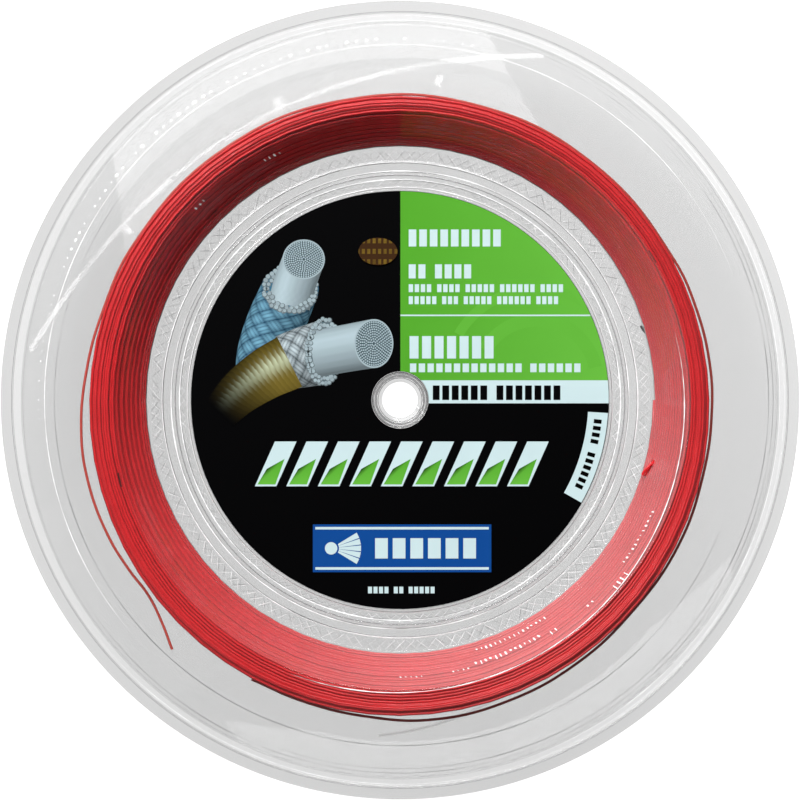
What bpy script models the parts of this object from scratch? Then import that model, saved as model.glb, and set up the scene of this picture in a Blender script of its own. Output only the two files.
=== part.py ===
"""Double string reel: two formed clear shells and a divider disc, welded through the web, with a main string
wound in the front channel and a cross string in the rear one.

The reel lies flat on its rear lip. Its axis is +Z, its origin is on the axis at the rear lip, and the
front label faces up. Metres."""

import math

import bmesh
import bpy
from mathutils import Matrix, Vector

MM = 0.001

# Driving dimensions.
FLANGE_RADIUS = 95 * MM
TOTAL_HEIGHT = 29 * MM
SHEET = 0.5 * MM  # the formed sheet's thickness
GAP = 0.3 * MM  # between pieces that touch on the real reel
STEPS = 72  # facets round a turned piece
BORE_RADIUS = 4.35 * MM

MIDDLE = TOTAL_HEIGHT / 2
WEB_FACE = SHEET / 2 + GAP + SHEET  # heights are counted outwards from the middle plane
LIP_FACE = MIDDLE
LIP_WIDTH = 2.7 * MM
LIP_STEP = 0.4 * MM
FLANGE_FACE = LIP_FACE - 1.1 * MM
FLANGE_FOLD_RADIUS = 85.6 * MM
DRUM_FOOT_RADIUS = 60.6 * MM
DRUM_TOP_RADIUS = 69.3 * MM

PLATEAU_RISE = 0.8 * MM  # the label's seat stands proud of the web
PLATEAU_INNER_RADIUS = 6.5 * MM
PLATEAU_OUTER_RADIUS = 50.8 * MM
COLLAR_RADIUS = 5.2 * MM
BEAD_RADIUS = 54.3 * MM
BEAD_HALF_WIDTH = 0.8 * MM
BEAD_RISE = 1.1 * MM

DIVIDER_RADIUS = 91.6 * MM

LABEL_RADIUS = 50.4 * MM
LABEL_HOLE_RADIUS = 6.9 * MM
PAPER = 0.2 * MM
LABEL_FACE = WEB_FACE + PLATEAU_RISE + GAP + PAPER
STICKER_FACE = LABEL_FACE + GAP + PAPER
TAB_INNER_RADIUS = 45.4 * MM
TAB_OUTER_RADIUS = 50.2 * MM
TAB_FIRST_ANGLE, TAB_LAST_ANGLE = math.radians(-29.5), math.radians(-3.6)
SEAL_CENTRE = Vector((-5.3 * MM, 35.8 * MM))
SEAL_HALF_SIZE = Vector((4.7 * MM, 3.3 * MM))

MAIN_DIAMETER, CROSS_DIAMETER = 0.67 * MM, 0.61 * MM
DRUM_CLEARANCE = 0.5 * MM  # between the drum's wall and the wound string
MAIN_RADIUS, CROSS_RADIUS = 73.7 * MM, 71.6 * MM  # of the windings at their sides
CROWN = 0.6 * MM  # how much further a winding stands out at its middle

SLIT_LENGTH, SLIT_WIDTH = 5.0 * MM, 1.4 * MM
SLIT_ANGLE = math.radians(-15.2)
SLIT_HEIGHT = 3.2 * MM
SLIT_SLOPE = math.radians(24)  # the slit runs round the drum and down towards the web

# The main string's loose last turn: angle about +Z in degrees, radius and height in millimetres. It leaves
# the winding, springs off it in three bows and ends in a straight tail.
LOOSE_TURN_ROUTE = (
    (-478, 75.05, 21.0), (-468, 75.45, 21.1), (-456, 76.9, 21.3), (-444, 77.9, 21.5), (-430, 77.2, 21.4),
    (-416, 75.9, 21.2), (-403, 75.2, 21.0), (-388, 75.05, 20.9), (-374, 75.1, 20.8), (-362, 75.5, 20.7),
    (-353, 75.7, 20.6), (-342, 75.5, 20.6), (-333, 75.15, 20.6), (-310, 75.05, 20.7), (-285, 75.05, 20.9),
    (-260, 75.05, 21.1), (-235, 75.05, 21.3), (-210, 75.05, 21.5), (-197, 75.25, 21.7), (-186, 76.4, 22.0),
    (-174, 77.6, 22.3), (-165, 78.0, 22.5), (-155, 77.7, 22.7), (-148, 77.0, 22.8), (-142, 76.8, 22.9),
    (-137, 78.4, 23.0), (-132.4, 80.9, 23.1),
)  # fmt: skip
# The cross string's free end, which leaves the rear winding and opens out towards the rim.
FREE_END_ROUTE = (
    (-47, 72.9, 8.0), (-55, 73.15, 8.0), (-63, 74.2, 8.0), (-69, 75.5, 8.0), (-75.2, 77.2, 7.9),
    (-82.7, 79.2, 7.8), (-88, 80.5, 7.7), (-93.6, 81.9, 7.6),
)  # fmt: skip
CORD_POINTS = {"main_string_loose_turn": 80, "cross_string_free_end": 24}


def clear_scene():
    for ob in list(bpy.data.objects):
        bpy.data.objects.remove(ob, do_unlink=True)


def make_material(name, colour, roughness, alpha=1.0, metallic=0.0):
    mat = bpy.data.materials.new(name)
    mat.use_nodes = True
    shader = mat.node_tree.nodes["Principled BSDF"]
    shader.inputs["Base Color"].default_value = (*colour, 1.0)
    shader.inputs["Roughness"].default_value = roughness
    shader.inputs["Metallic"].default_value = metallic
    shader.inputs["Alpha"].default_value = alpha
    return mat


def new_object(name, mesh, material):
    mesh.materials.append(material)
    ob = bpy.data.objects.new(name, mesh)
    bpy.context.scene.collection.objects.link(ob)
    return ob


def outline_mesh(name, points, closed):
    """A mesh of edges through points, given as (radius, height)."""
    mesh = bpy.data.meshes.new(name)
    edges = [(i, i + 1) for i in range(len(points) - 1)]
    if closed:
        edges.append((len(points) - 1, 0))
    mesh.from_pydata([(radius, 0.0, height) for radius, height in points], edges, [])
    return mesh


def add_screw(ob):
    screw = ob.modifiers.new("turn", "SCREW")
    screw.axis = "Z"
    screw.angle = math.tau
    screw.steps = STEPS
    screw.render_steps = STEPS
    screw.use_merge_vertices = True
    screw.merge_threshold = 0.00001
    screw.use_smooth_shade = True
    return screw


def turned_ring(name, points, material):
    """A closed outline turned round +Z. The points run down the outer side and back up the inner one."""
    ob = new_object(name, outline_mesh(name, points, closed=True), material)
    add_screw(ob)
    return ob


def disc_outline(inner_radius, outer_radius, face, thickness):
    """The section of a flat ring whose upper face is at the height face."""
    return [
        (outer_radius, face),
        (outer_radius, face - thickness),
        (inner_radius, face - thickness),
        (inner_radius, face),
    ]


def shell_outline():
    """The outer face of a shell, from its bore out to its lip, as height above the middle plane."""
    plateau = WEB_FACE + PLATEAU_RISE
    lip_inner = FLANGE_RADIUS - LIP_WIDTH
    return [
        (COLLAR_RADIUS, WEB_FACE),
        (PLATEAU_INNER_RADIUS, plateau),
        (PLATEAU_OUTER_RADIUS, plateau),
        (PLATEAU_OUTER_RADIUS + PLATEAU_RISE, WEB_FACE),
        (BEAD_RADIUS - BEAD_HALF_WIDTH, WEB_FACE),
        (BEAD_RADIUS, WEB_FACE + BEAD_RISE),
        (BEAD_RADIUS + BEAD_HALF_WIDTH, WEB_FACE),
        (DRUM_FOOT_RADIUS, WEB_FACE),
        (DRUM_TOP_RADIUS, FLANGE_FACE),
        (FLANGE_FOLD_RADIUS, FLANGE_FACE),
        (lip_inner - LIP_STEP, LIP_FACE - LIP_STEP),
        (lip_inner, LIP_FACE),
        (FLANGE_RADIUS, LIP_FACE),
    ]


def drum_frame():
    """Where the slit sits on the drum's wall: +X along the slit, +Z out of the wall towards the axis."""
    along_wall = Vector((DRUM_TOP_RADIUS - DRUM_FOOT_RADIUS, 0, FLANGE_FACE - WEB_FACE)).normalized()
    outwards = Vector((-along_wall.z, 0, along_wall.x))
    round_drum = Vector((0, -1, 0))
    slit_run = round_drum * math.cos(SLIT_SLOPE) - along_wall * math.sin(SLIT_SLOPE)
    share = (SLIT_HEIGHT - WEB_FACE) / (FLANGE_FACE - WEB_FACE)
    radius = DRUM_FOOT_RADIUS + share * (DRUM_TOP_RADIUS - DRUM_FOOT_RADIUS)
    across = outwards.cross(slit_run)
    frame = Matrix((slit_run, across, outwards)).transposed().to_4x4()
    frame.translation = Vector((radius, 0, SLIT_HEIGHT))
    return Matrix.Rotation(SLIT_ANGLE, 4, "Z") @ frame


def slit_cutter(material):
    """A slot with round ends, longer than the wall is thick."""
    bm = bmesh.new()
    straight = (SLIT_LENGTH - SLIT_WIDTH) / 2
    reach = 2 * MM
    end_points = 6
    corners = []
    for side in (1, -1):
        for i in range(end_points + 1):
            turn = math.pi * (i / end_points - side / 2)
            x = side * straight + SLIT_WIDTH / 2 * math.cos(turn)
            corners.append(bm.verts.new((x, SLIT_WIDTH / 2 * math.sin(turn), -reach)))
    face = bm.faces.new(corners)
    grown = bmesh.ops.extrude_face_region(bm, geom=[face])
    lifted = [v for v in grown["geom"] if isinstance(v, bmesh.types.BMVert)]
    bmesh.ops.translate(bm, vec=(0, 0, 2 * reach), verts=lifted)
    bmesh.ops.recalc_face_normals(bm, faces=bm.faces)
    mesh = bpy.data.meshes.new("slit_cutter")
    bm.to_mesh(mesh)
    bm.free()
    cutter = new_object("slit_cutter", mesh, material)
    cutter.hide_render = True
    cutter.display_type = "WIRE"
    return cutter


def shell(name, material, side):
    """One formed shell, with its string slit. side is 1 for the front and -1 for the rear."""
    ob = new_object(name, outline_mesh(name, shell_outline(), closed=False), material)
    add_screw(ob)
    wall = ob.modifiers.new("sheet", "SOLIDIFY")
    wall.thickness = SHEET
    wall.offset = -1
    wall.use_even_offset = True
    cutter = slit_cutter(material)
    cut = ob.modifiers.new("slit", "BOOLEAN")
    cut.operation = "DIFFERENCE"
    cut.object = cutter
    ob.matrix_world = side_matrix(side)
    cutter.matrix_world = side_matrix(side) @ drum_frame()
    return ob


def side_matrix(side):
    """From heights above the middle plane to the reel's frame, turned over for the rear side."""
    turned = Matrix.Rotation(0 if side > 0 else math.pi, 4, "X")
    return Matrix.Translation((0, 0, MIDDLE)) @ turned


def divider(material):
    points = disc_outline(BORE_RADIUS, DIVIDER_RADIUS, SHEET / 2, SHEET)
    ob = turned_ring("divider_disc", points, material)
    ob.matrix_world = side_matrix(1)
    return ob


def winding(name, material, side_radius, side):
    """The wound string as one ring: conical inside along the drum and crowned outside."""
    low = SHEET / 2 + GAP
    high = FLANGE_FACE - SHEET - GAP
    slope = (DRUM_TOP_RADIUS - DRUM_FOOT_RADIUS) / (FLANGE_FACE - WEB_FACE)
    off_wall = (SHEET + DRUM_CLEARANCE) * math.hypot(1, slope)

    def inner_radius(height):
        return DRUM_FOOT_RADIUS + slope * (height - WEB_FACE) + off_wall

    crown_points = 6
    points = []
    for i in range(crown_points + 1):
        share = i / crown_points
        bulge = CROWN * (1 - (2 * share - 1) ** 2)
        points.append((side_radius + bulge, high + share * (low - high)))
    points += [(inner_radius(low), low), (inner_radius(high), high)]
    ob = turned_ring(name, points, material)
    ob.matrix_world = side_matrix(side)
    return ob


def label(name, material, side):
    points = disc_outline(LABEL_HOLE_RADIUS, LABEL_RADIUS, LABEL_FACE, PAPER)
    ob = turned_ring(name, points, material)
    ob.matrix_world = side_matrix(side)
    return ob


def flat_sticker(name, corners, material, side):
    """A flat outline, listed anticlockwise, as a thin solid whose face is at STICKER_FACE."""
    bm = bmesh.new()
    face = bm.faces.new([bm.verts.new((x, y, STICKER_FACE - PAPER)) for x, y in corners])
    grown = bmesh.ops.extrude_face_region(bm, geom=[face])
    lifted = [v for v in grown["geom"] if isinstance(v, bmesh.types.BMVert)]
    bmesh.ops.translate(bm, vec=(0, 0, PAPER), verts=lifted)
    bmesh.ops.recalc_face_normals(bm, faces=bm.faces)
    mesh = bpy.data.meshes.new(name)
    bm.to_mesh(mesh)
    bm.free()
    ob = new_object(name, mesh, material)
    ob.matrix_world = side_matrix(side)
    return ob


def tab(name, material, side):
    """A curved tab along the label's edge."""
    arc_points = 9
    angles = [
        TAB_FIRST_ANGLE + (TAB_LAST_ANGLE - TAB_FIRST_ANGLE) * i / (arc_points - 1) for i in range(arc_points)
    ]
    outer = [(TAB_OUTER_RADIUS * math.cos(a), TAB_OUTER_RADIUS * math.sin(a)) for a in angles]
    inner = [(TAB_INNER_RADIUS * math.cos(a), TAB_INNER_RADIUS * math.sin(a)) for a in reversed(angles)]
    return flat_sticker(name, outer + inner, material, side)


def seal(material):
    """The small oval seal."""
    points = 28
    corners = []
    for i in range(points):
        turn = math.tau * i / points
        across = SEAL_CENTRE.x + SEAL_HALF_SIZE.x * math.cos(turn)
        up = SEAL_CENTRE.y + SEAL_HALF_SIZE.y * math.sin(turn)
        corners.append((across, up))
    return flat_sticker("oval_seal", corners, material, 1)


def smooth_route(stops, count):
    """count points at even steps along the smooth curve through stops."""
    guide = bpy.data.curves.new("route_guide", "CURVE")
    guide.dimensions = "3D"
    guide.resolution_u = 24
    spline = guide.splines.new("BEZIER")
    spline.bezier_points.add(len(stops) - 1)
    for knot, stop in zip(spline.bezier_points, stops):
        knot.co = stop
        knot.handle_left_type = knot.handle_right_type = "AUTO"
    holder = bpy.data.objects.new("route_guide", guide)
    bpy.context.scene.collection.objects.link(holder)
    traced = holder.to_mesh()
    trail = [v.co.copy() for v in traced.vertices]
    holder.to_mesh_clear()
    bpy.data.objects.remove(holder, do_unlink=True)

    reach = [0.0]
    for before, after in zip(trail, trail[1:]):
        reach.append(reach[-1] + (after - before).length)
    points = []
    place = 0
    for i in range(count):
        wanted = reach[-1] * i / (count - 1)
        while place < len(trail) - 2 and reach[place + 1] < wanted:
            place += 1
        share = (wanted - reach[place]) / (reach[place + 1] - reach[place])
        points.append(trail[place].lerp(trail[place + 1], min(share, 1.0)))
    return points


def polar_stops(route):
    stops = []
    for degrees, radius, height in route:
        turn = math.radians(degrees)
        stops.append(Vector((radius * MM * math.cos(turn), radius * MM * math.sin(turn), height * MM)))
    return stops


def tube(name, points, diameter, material):
    """A round string through points, with closed ends."""
    curve = bpy.data.curves.new(name, "CURVE")
    curve.dimensions = "3D"
    curve.bevel_depth = diameter / 2
    curve.bevel_resolution = 2
    curve.use_fill_caps = True
    spline = curve.splines.new("POLY")
    spline.points.add(len(points) - 1)
    for knot, point in zip(spline.points, points):
        knot.co = (*point, 1.0)
    curve.materials.append(material)
    ob = bpy.data.objects.new(name, curve)
    bpy.context.scene.collection.objects.link(ob)
    return ob


def free_string(name, route, diameter, material):
    return tube(name, smooth_route(polar_stops(route), CORD_POINTS[name]), diameter, material)


def string_start(name, diameter, material, side):
    """The first few millimetres of a string, which come up through the slit and lie along the drum's wall."""
    rest = diameter / 2 + GAP
    stops = [
        Vector((-1.3 * MM, 0, -0.1 * MM)),
        Vector((-0.3 * MM, 0, 0.25 * MM)),
        Vector((0.8 * MM, 0, rest)),
        Vector((2.2 * MM, 0, rest + 0.05 * MM)),
    ]
    ob = tube(name, smooth_route(stops, 8), diameter, material)
    ob.matrix_world = side_matrix(side) @ drum_frame()
    return ob


def build():
    clear_scene()
    clear_sheet = make_material("clear_sheet", (0.86, 0.87, 0.88), 0.12, alpha=0.25)
    main_red = make_material("main_string_red", (0.62, 0.02, 0.03), 0.35)
    cross_white = make_material("cross_string_white", (0.85, 0.85, 0.83), 0.35)
    label_print = make_material("label_print", (0.02, 0.02, 0.02), 0.4)
    tab_print = make_material("tab_print", (0.8, 0.92, 0.94), 0.4)
    seal_foil = make_material("seal_foil", (0.45, 0.3, 0.1), 0.3, metallic=0.8)

    for name, side in (("front_shell", 1), ("rear_shell", -1)):
        shell(name, clear_sheet, side)
    divider(clear_sheet)
    winding("main_string_winding", main_red, MAIN_RADIUS, 1)
    winding("cross_string_winding", cross_white, CROSS_RADIUS, -1)
    string_start("main_string_start", MAIN_DIAMETER, main_red, 1)
    string_start("cross_string_start", CROSS_DIAMETER, cross_white, -1)
    free_string("main_string_loose_turn", LOOSE_TURN_ROUTE, MAIN_DIAMETER, main_red)
    free_string("cross_string_free_end", FREE_END_ROUTE, CROSS_DIAMETER, cross_white)
    for name, side in (("front_label", 1), ("rear_label", -1)):
        label(name, label_print, side)
    for name, side in (("main_string_tab", 1), ("cross_string_tab", -1)):
        tab(name, tab_print, side)
    seal(seal_foil)


build()
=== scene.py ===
"""Looks for the double string reel: clear shells, strings wound turn by turn, printed labels, studio light.

Metres, in the frame's axes: the reel lies on its rear lip, its axis is +Z and the front label faces up."""

import math

import bpy
import numpy as np
from mathutils import Matrix, Vector


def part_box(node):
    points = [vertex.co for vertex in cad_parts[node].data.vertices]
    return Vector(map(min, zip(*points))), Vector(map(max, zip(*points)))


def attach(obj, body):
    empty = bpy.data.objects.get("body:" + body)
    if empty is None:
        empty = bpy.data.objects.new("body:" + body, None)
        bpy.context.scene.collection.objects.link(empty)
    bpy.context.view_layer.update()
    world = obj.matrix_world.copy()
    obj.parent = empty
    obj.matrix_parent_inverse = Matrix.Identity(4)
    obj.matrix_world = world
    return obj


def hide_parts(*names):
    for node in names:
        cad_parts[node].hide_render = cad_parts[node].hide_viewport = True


MM = 0.001
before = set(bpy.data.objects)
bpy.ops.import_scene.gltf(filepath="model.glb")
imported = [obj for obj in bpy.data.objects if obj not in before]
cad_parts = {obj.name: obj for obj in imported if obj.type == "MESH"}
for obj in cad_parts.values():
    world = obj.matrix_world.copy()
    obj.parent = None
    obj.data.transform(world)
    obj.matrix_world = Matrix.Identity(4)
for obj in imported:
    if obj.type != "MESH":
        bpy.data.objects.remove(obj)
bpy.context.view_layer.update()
BODY = "root"

# Sizes from the frame.
FLANGE_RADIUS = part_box("front_shell")[1][0]
TOTAL_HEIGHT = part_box("front_shell")[1][2]
MIDDLE = TOTAL_HEIGHT / 2
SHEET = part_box("divider_disc")[1][2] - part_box("divider_disc")[0][2]
DIVIDER_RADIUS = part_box("divider_disc")[1][0]
LABEL_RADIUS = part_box("front_label")[1][0]
LABEL_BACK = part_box("front_label")[0][2] - MIDDLE  # heights are counted outwards from the middle plane
LABEL_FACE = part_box("front_label")[1][2] - MIDDLE
STICKER_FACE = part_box("main_string_tab")[1][2] - MIDDLE

# The label's hole and the shells' section, as in the CAD part.
LABEL_HOLE = 6.9 * MM
GAP = 0.3 * MM
WEB_FACE = SHEET / 2 + GAP + SHEET
LIP_WIDTH = 2.7 * MM
LIP_STEP = 0.4 * MM
FLANGE_FACE = MIDDLE - 1.1 * MM
FLANGE_FOLD_RADIUS = 85.6 * MM
DRUM_FOOT_RADIUS, DRUM_TOP_RADIUS = 60.6 * MM, 69.3 * MM
PLATEAU_RISE = 0.8 * MM
PLATEAU_INNER_RADIUS, PLATEAU_OUTER_RADIUS = 6.5 * MM, 50.8 * MM
COLLAR_RADIUS, BORE_RADIUS = 5.2 * MM, 4.35 * MM
BEAD_RADIUS, BEAD_HALF_WIDTH, BEAD_RISE = 54.3 * MM, 0.8 * MM, 1.1 * MM
WEB_FOLD_RADIUS, WEB_FOLD_WIDTH, WEB_FOLD_RISE = 57.3 * MM, 0.6 * MM, 0.25 * MM
SLIT_LENGTH, SLIT_WIDTH = 5.0 * MM, 1.4 * MM
SLIT_ANGLE, SLIT_SLOPE = math.radians(-15.2), math.radians(24)
SLIT_HEIGHT = 3.2 * MM
WELD_BANDS = ((58.0 * MM, 60.3 * MM), (51.9 * MM, 53.4 * MM))
SINK = 0.02 * MM  # how far ridges and domes reach into the sheet that they stand on

MAIN_DIAMETER, CROSS_DIAMETER = 0.67 * MM, 0.61 * MM
MAIN_LENGTH, CROSS_LENGTH = 105.0, 95.0
MAIN_LEAN = 1.48 * MM  # how far the red winding's outermost layers sit off the axis
CLEARANCE = 0.05 * MM  # between a wound string and the sheet

# Degrees round the axis, then radius and height in millimetres, along each free string.
LOOSE_TURN_ROUTE = (
    (-478, 75.9, 21.0), (-468, 75.95, 21.1), (-456, 76.35, 21.3), (-444, 77.05, 21.5), (-430, 76.7, 21.4),
    (-416, 76.1, 21.2), (-403, 75.4, 21.0), (-388, 75.4, 20.9), (-374, 74.95, 20.8), (-362, 74.9, 20.7),
    (-353, 74.85, 20.6), (-342, 74.4, 20.6), (-333, 73.9, 20.6), (-310, 73.25, 20.7), (-285, 73.1, 20.9),
    (-260, 73.15, 21.1), (-235, 73.5, 21.3), (-210, 74.0, 21.5), (-197, 74.35, 21.7), (-186, 75.4, 22.0),
    (-174, 76.8, 22.3), (-165, 77.25, 22.5), (-155, 77.1, 22.7), (-148, 76.6, 22.8), (-142, 76.3, 22.9),
    (-137, 78.0, 23.0), (-132.4, 80.9, 23.1),
)  # fmt: skip
FREE_END_ROUTE = (
    (-47, 72.9, 8.0), (-55, 73.15, 8.0), (-63, 74.2, 8.0), (-69, 75.5, 8.0), (-75.2, 77.2, 7.9),
    (-82.7, 79.2, 7.8), (-88, 80.5, 7.7), (-93.6, 81.9, 7.6),
)  # fmt: skip


# ---- node helpers


class Nodes:
    """Shorthand for building one material's node tree."""

    def __init__(self, name):
        self.material = bpy.data.materials.new(name)
        self.material.use_nodes = True
        self.tree = self.material.node_tree
        self.tree.nodes.clear()
        self.output = self.tree.nodes.new("ShaderNodeOutputMaterial")

    def add(self, kind, inputs=None, **settings):
        node = self.tree.nodes.new(kind)
        for key, value in settings.items():
            setattr(node, key, value)
        for key, value in (inputs or {}).items():
            self.put(node.inputs[key], value)
        return node

    def put(self, socket, value):
        if isinstance(value, bpy.types.NodeSocket):
            self.tree.links.new(value, socket)
        else:
            socket.default_value = value

    def math(self, operation, a, b=0.0, clamp=False):
        node = self.add("ShaderNodeMath", {0: a, 1: b}, operation=operation, use_clamp=clamp)
        return node.outputs[0]

    def scaled(self, value, factor, offset):
        """The value times the factor, plus the offset."""
        inputs = {0: value, 1: factor, 2: offset}
        return self.add("ShaderNodeMath", inputs, operation="MULTIPLY_ADD").outputs[0]

    def mix_colour(self, share, a, b):
        node = self.add("ShaderNodeMix", data_type="RGBA")
        self.put(node.inputs["Factor"], share)
        self.put(node.inputs[6], a)
        self.put(node.inputs[7], b)
        return node.outputs[2]

    def noise(self, vector, scale, detail=2.0):
        return self.add("ShaderNodeTexNoise", {"Vector": vector, "Scale": scale, "Detail": detail}).outputs[0]

    def position(self):
        return self.add("ShaderNodeTexCoord").outputs["Object"]

    def bump(self, height, strength, distance):
        inputs = {"Height": height, "Strength": strength, "Distance": distance}
        return self.add("ShaderNodeBump", inputs).outputs[0]

    def see_through(self, colour):
        return self.add("ShaderNodeBsdfTransparent", {"Color": colour}).outputs[0]

    def mix_shader(self, share, a, b):
        return self.add("ShaderNodeMixShader", {0: share, 1: a, 2: b}).outputs[0]

    def principled(self, inputs):
        """The finished material, with these inputs."""
        return self.finish(self.add("ShaderNodeBsdfPrincipled", inputs).outputs[0])

    def finish(self, shader):
        self.tree.links.new(shader, self.output.inputs["Surface"])
        return self.material


# ---- materials


def clear_sheet_material(name, lip_tint):
    """Thin clear sheet: light goes straight through, greyer at the lip and round the bore, hazier where it
    slants, and hazier still towards the lower right, a painted sheen.
    """
    n = Nodes(name)
    tint, haze = 0.925, 0.006
    place = n.position()
    across = n.add("ShaderNodeVectorMath", {0: place, 1: (1, 1, 0)}, operation="MULTIPLY").outputs[0]
    radius = n.add("ShaderNodeVectorMath", {0: across}, operation="LENGTH").outputs["Value"]
    lip = n.math("GREATER_THAN", radius, FLANGE_RADIUS - LIP_WIDTH - LIP_STEP / 2)
    see_colour = n.mix_colour(lip, (tint, tint, tint, 1), (lip_tint, lip_tint, lip_tint, 1))
    collar = n.math("LESS_THAN", radius, PLATEAU_INNER_RADIUS + 0.3 * MM)
    see_colour = n.mix_colour(n.math("MULTIPLY", collar, 0.75), see_colour, (0.8, 0.8, 0.8, 1))
    cloud = n.noise(place, 60.0, 3.0)
    steep = n.add("ShaderNodeLayerWeight", {"Blend": 0.5}).outputs["Facing"]
    normal = n.bump(n.noise(place, 150.0), 0.12, 0.00003)
    see = n.see_through(see_colour)
    mirror_like = {"Color": (1, 1, 1, 1), "Roughness": 0.04, "Normal": normal}
    gloss = n.add("ShaderNodeBsdfGlossy", mirror_like).outputs[0]
    veil = n.add("ShaderNodeBsdfDiffuse", {"Color": (0.9, 0.9, 0.91, 1)}).outputs[0]
    base_veil = n.scaled(cloud, haze, haze * 0.5)
    part = n.add("ShaderNodeSeparateXYZ", {0: place})
    lower_right = n.math("DIVIDE", n.math("SUBTRACT", part.outputs[0], part.outputs[1]), radius)
    # Painted sheen: the veil on the slants grows towards the lower right, where the wall would mirror the
    # lamps; 0 at the upper left, 1 at the lower right.
    painted_sheen_side = n.math("POWER", n.scaled(lower_right, 0.353, 0.5), 2.2)  # 0 upper left, 1 lower right
    slant_veil = n.math("MULTIPLY", n.math("POWER", steep, 2.0), n.scaled(painted_sheen_side, 0.55, 0.035))
    veil_share = n.math("ADD", base_veil, slant_veil, clamp=True)
    mirror = n.scaled(n.math("POWER", steep, 5.0), 0.5, 0.014)
    return n.finish(n.mix_shader(mirror, n.mix_shader(veil_share, see, veil), gloss))


def weld_and_glint_material():
    """Fused, whitened ridges of the weld, with a faint painted glow; the same white also draws the painted
    highlight arcs, dashes and dots.
    """
    n = Nodes("weld_ridge_and_glint")
    place = n.position()
    grain = n.noise(place, 900.0)
    colour = n.mix_colour(grain, (0.82, 0.82, 0.83, 1), (0.98, 0.98, 0.98, 1))
    inputs = {
        "Base Color": colour,
        "Roughness": 0.25,
        "Normal": n.bump(grain, 0.4, 0.0001),
        # The white emission is a painted glow that keeps the ridges bright on every side.
        "Emission Color": (1, 1, 1, 1),
        "Emission Strength": 0.16,
    }
    white = n.add("ShaderNodeBsdfPrincipled", inputs).outputs[0]
    share = n.scaled(n.noise(place, 420.0, 3.0), 0.8, 0.42)
    return n.finish(n.mix_shader(share, n.see_through((0.97, 0.97, 0.97, 1)), white))


def string_material(name, colour, deep, glow=0.0):
    """Coated string, with a fine twist in its surface and a short printed dash now and then."""
    n = Nodes(name)
    along = n.add("ShaderNodeAttribute", attribute_name="along").outputs["Fac"]
    around = n.add("ShaderNodeAttribute", attribute_name="around").outputs["Fac"]
    twists_per_metre, mark_period, dash_length = 900.0, 1.9, 0.0035
    turn = n.math("ADD", n.math("MULTIPLY", along, twists_per_metre), around)
    twist = n.math("SINE", n.math("MULTIPLY", turn, math.tau))
    shade = n.noise(n.position(), 180.0, 3.0)
    body = n.mix_colour(shade, (*deep, 1), (*colour, 1))
    in_period = n.math("FRACT", n.math("DIVIDE", along, mark_period))
    marked = n.math("GREATER_THAN", in_period, 1 - dash_length / mark_period)
    dash = n.math("MULTIPLY", marked, n.math("LESS_THAN", around, 0.3))
    body = n.mix_colour(n.math("MULTIPLY", dash, 0.8), body, (0.01, 0.01, 0.01, 1))
    inputs = {
        "Base Color": body,
        "Roughness": 0.32,
        "Normal": n.bump(twist, 0.25, 0.00003),
        "Specular IOR Level": 0.35,
        "Coat Weight": 0.1,
        "Coat Roughness": 0.18,
        # A glow above zero is a painted glow, standing in for light that passes through the string.
        "Emission Color": (1, 1, 1, 1),
        "Emission Strength": glow,
    }
    return n.principled(inputs)


def ink_material(name, roughness):
    """Printed ink, whose colours are on the mesh, with the faint tooth of coated paper."""
    n = Nodes(name)
    colour = n.add("ShaderNodeAttribute", attribute_name="ink").outputs["Color"]
    tooth = n.noise(n.position(), 2600.0, 3.0)
    mottle = n.noise(n.position(), 90.0)
    dim = n.add("ShaderNodeHueSaturation", {"Color": colour, "Value": n.scaled(mottle, 0.06, 0.64)})
    inputs = {
        "Base Color": dim.outputs[0],
        "Roughness": roughness,
        "Normal": n.bump(tooth, 0.15, 0.00002),
        "Specular IOR Level": 0.03,
    }
    return n.principled(inputs)


def foil_material():
    """Dark gold foil with rows of fine bright dashes."""
    n = Nodes("seal_foil_fine")
    place = n.add("ShaderNodeSeparateXYZ", {0: n.position()})
    across = n.math("SINE", n.math("MULTIPLY", place.outputs[0], 4800.0))
    rows = n.math("SINE", n.math("MULTIPLY", place.outputs[1], 2500.0))
    weave = n.math("MULTIPLY", n.math("GREATER_THAN", rows, 0.1), n.math("GREATER_THAN", across, -0.2))
    share = n.math("MULTIPLY", weave, n.noise(n.position(), 500.0))
    colour = n.mix_colour(share, (0.034, 0.012, 0.001, 1), (0.18, 0.11, 0.010, 1))
    inputs = {
        "Base Color": colour,
        "Roughness": 0.5,
        "Specular IOR Level": 0.1,
        "Normal": n.bump(weave, 0.3, 0.00002),
    }
    return n.principled(inputs)


# ---- mesh helpers


def linked(name, data):
    ob = bpy.data.objects.new(name, data)
    bpy.context.scene.collection.objects.link(ob)
    return ob


def mesh_object(name, vertices, faces, material, smooth=True):
    mesh = bpy.data.meshes.new(name)
    mesh.from_pydata([tuple(v) for v in vertices], [], [tuple(f) for f in faces])
    mesh.materials.append(material)
    if smooth:
        mesh.shade_smooth()
    return linked(name, mesh)


def place_on_reel(ob, replaces=()):
    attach(ob, BODY)
    if replaces:
        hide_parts(*replaces)


def side_matrix(side):
    turned = Matrix.Rotation(0 if side > 0 else math.pi, 4, "X")
    return Matrix.Translation((0, 0, MIDDLE)) @ turned


def place_on_side(ob, side, replaces=()):
    """Turns a piece modelled from the middle plane outwards to its side, front (1) or rear (-1)."""
    ob.data.transform(side_matrix(side))
    place_on_reel(ob, replaces)


def grid_faces(rows, columns):
    """Quads over a grid that closes both ways, for vertices stored row by row."""
    row = np.arange(rows)[:, None]
    column = np.arange(columns)[None, :]
    next_row = (row + 1) % rows
    next_column = (column + 1) % columns
    corners = [row * columns + column, row * columns + next_column]
    corners += [next_row * columns + next_column, next_row * columns + column]
    return np.stack([np.broadcast_to(c, (rows, columns)) for c in corners], axis=-1).reshape(-1, 4)


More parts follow.
